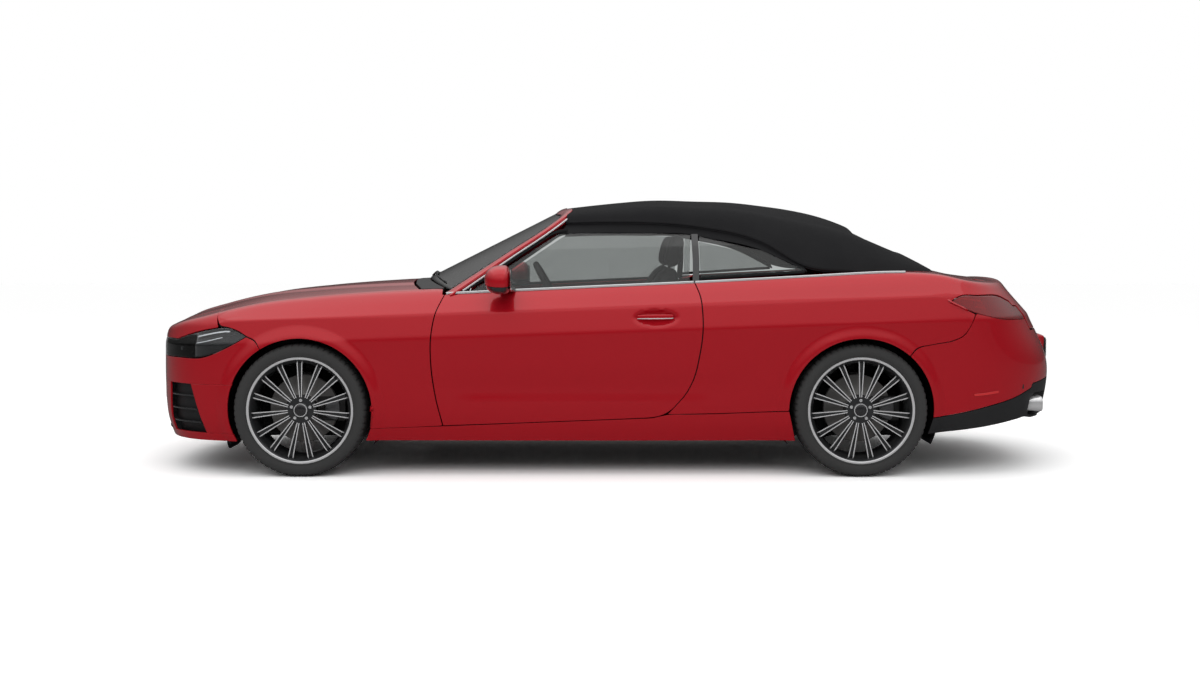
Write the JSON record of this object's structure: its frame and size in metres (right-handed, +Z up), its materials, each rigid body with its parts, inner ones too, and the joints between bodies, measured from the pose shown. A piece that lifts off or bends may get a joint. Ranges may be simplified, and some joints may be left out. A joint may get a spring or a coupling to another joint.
{
  "type": "convertible car",
  "caption": "Two-door convertible car with its fabric roof raised, steering front wheels, opening doors, bonnet and boot lid.",
  "frame": {"origin": "on the ground at mid-length on the centre plane", "axes": "+X to the rear, +Y to the right of the car, +Z up"},
  "size_m": [4.8541, 2.094, 1.4238],
  "materials": {
    "red_paint": "glossy metallic dark red",
    "black_plastic": "satin",
    "lamp_lens": "clear gloss",
    "pane_glass": "tinted",
    "roof_fabric": "woven",
    "tyre_rubber": "matt",
    "wheel_alloy": "machined and painted",
    "disc_iron": "machined",
    "chassis_steel": "satin",
    "exhaust_steel": "brushed",
    "seat_leather": "smooth",
    "dash_plastic": "grained"
  },
  "bodies": {
    "car_body": {"cowl": "black_plastic", "dashboard": "dash_plastic", "diffuser": "black_plastic", "engine": "chassis_steel", "exhaust": "exhaust_steel", "floor_pan": "chassis_steel", "front_axle": "chassis_steel", "front_bumper": "red_paint", "front_fenders": "red_paint", "front_seats": "seat_leather", "grille": "black_plastic", "headlamps": "lamp_lens", "quarter_windows": "pane_glass", "rear_axle": "chassis_steel", "rear_bumper": "red_paint", "rear_quarters": "red_paint", "rear_seat": "seat_leather", "rear_window": "pane_glass", "side_sills": "red_paint", "soft_top": "roof_fabric", "tail_lamps": "lamp_lens", "tonneau_cover": "red_paint", "wheel_liners": "black_plastic", "windscreen": "pane_glass", "windscreen_frame": "red_paint"},
    "front_left_wheel": {"front_left_rim": "wheel_alloy", "front_left_tyre": "tyre_rubber", "front_left_disc": "disc_iron"},
    "front_right_wheel": {"front_right_rim": "wheel_alloy", "front_right_tyre": "tyre_rubber", "front_right_disc": "disc_iron"},
    "rear_left_wheel": {"rear_left_rim": "wheel_alloy", "rear_left_tyre": "tyre_rubber", "rear_left_disc": "disc_iron"},
    "rear_right_wheel": {"rear_right_rim": "wheel_alloy", "rear_right_tyre": "tyre_rubber", "rear_right_disc": "disc_iron"},
    "front_left_carrier": {"front_left_knuckle": "chassis_steel"},
    "front_right_carrier": {"front_right_knuckle": "chassis_steel"},
    "left_door_body": {"left_door": "red_paint", "left_door_glass": "pane_glass", "left_mirror": "red_paint"},
    "right_door_body": {"right_door": "red_paint", "right_door_glass": "pane_glass", "right_mirror": "red_paint"},
    "bonnet_body": {"bonnet": "red_paint"},
    "boot_lid_body": {"boot_lid": "red_paint"},
    "steering_wheel_body": {"steering_wheel": "dash_plastic"}
  },
  "joints": [
    {"name": "left_steering", "type": "hinge", "parent": "car_body", "child": "front_left_carrier", "pos_m": [-1.58, -0.7, 0.34], "axis": [0, 0, 1], "range_deg": [-33, 33]},
    {"name": "right_steering", "type": "hinge", "parent": "car_body", "child": "front_right_carrier", "pos_m": [-1.58, 0.7, 0.34], "axis": [0, 0, 1], "range_deg": [-33, 33]},
    {"name": "steering_wheel_turn", "type": "hinge", "parent": "car_body", "child": "steering_wheel_body", "pos_m": [-0.311, -0.38, 0.932], "axis": [0.874, 0, 0.486], "range_deg": [-429, 429]},
    {"name": "front_left_wheel_spin", "type": "hinge", "parent": "front_left_carrier", "child": "front_left_wheel", "pos_m": [-1.58, -0.79, 0.34], "axis": [0, 1, 0], "continuous": true},
    {"name": "front_right_wheel_spin", "type": "hinge", "parent": "front_right_carrier", "child": "front_right_wheel", "pos_m": [-1.58, 0.79, 0.34], "axis": [0, 1, 0], "continuous": true},
    {"name": "rear_left_wheel_spin", "type": "hinge", "parent": "car_body", "child": "rear_left_wheel", "pos_m": [1.285, -0.78, 0.34], "axis": [0, 1, 0], "continuous": true},
    {"name": "rear_right_wheel_spin", "type": "hinge", "parent": "car_body", "child": "rear_right_wheel", "pos_m": [1.285, 0.78, 0.34], "axis": [0, 1, 0], "continuous": true},
    {"name": "left_door_hinge", "type": "hinge", "parent": "car_body", "child": "left_door_body", "pos_m": [-0.8, -0.868, 0.6], "axis": [0, 0, -1], "range_deg": [0, 65]},
    {"name": "right_door_hinge", "type": "hinge", "parent": "car_body", "child": "right_door_body", "pos_m": [-0.8, 0.868, 0.6], "axis": [0, 0, 1], "range_deg": [0, 65]},
    {"name": "bonnet_hinge", "type": "hinge", "parent": "car_body", "child": "bonnet_body", "pos_m": [-0.895, 0, 0.94], "axis": [0, 1, 0], "range_deg": [0, 40]},
    {"name": "boot_lid_hinge", "type": "hinge", "parent": "car_body", "child": "boot_lid_body", "pos_m": [1.89, 0, 0.985], "axis": [0, -1, 0], "range_deg": [0, 75]}
  ],
  "couplings": [
    {"joint": "right_steering", "follows": "left_steering", "ratio": 1},
    {"joint": "steering_wheel_turn", "follows": "left_steering", "ratio": 13}
  ]
}
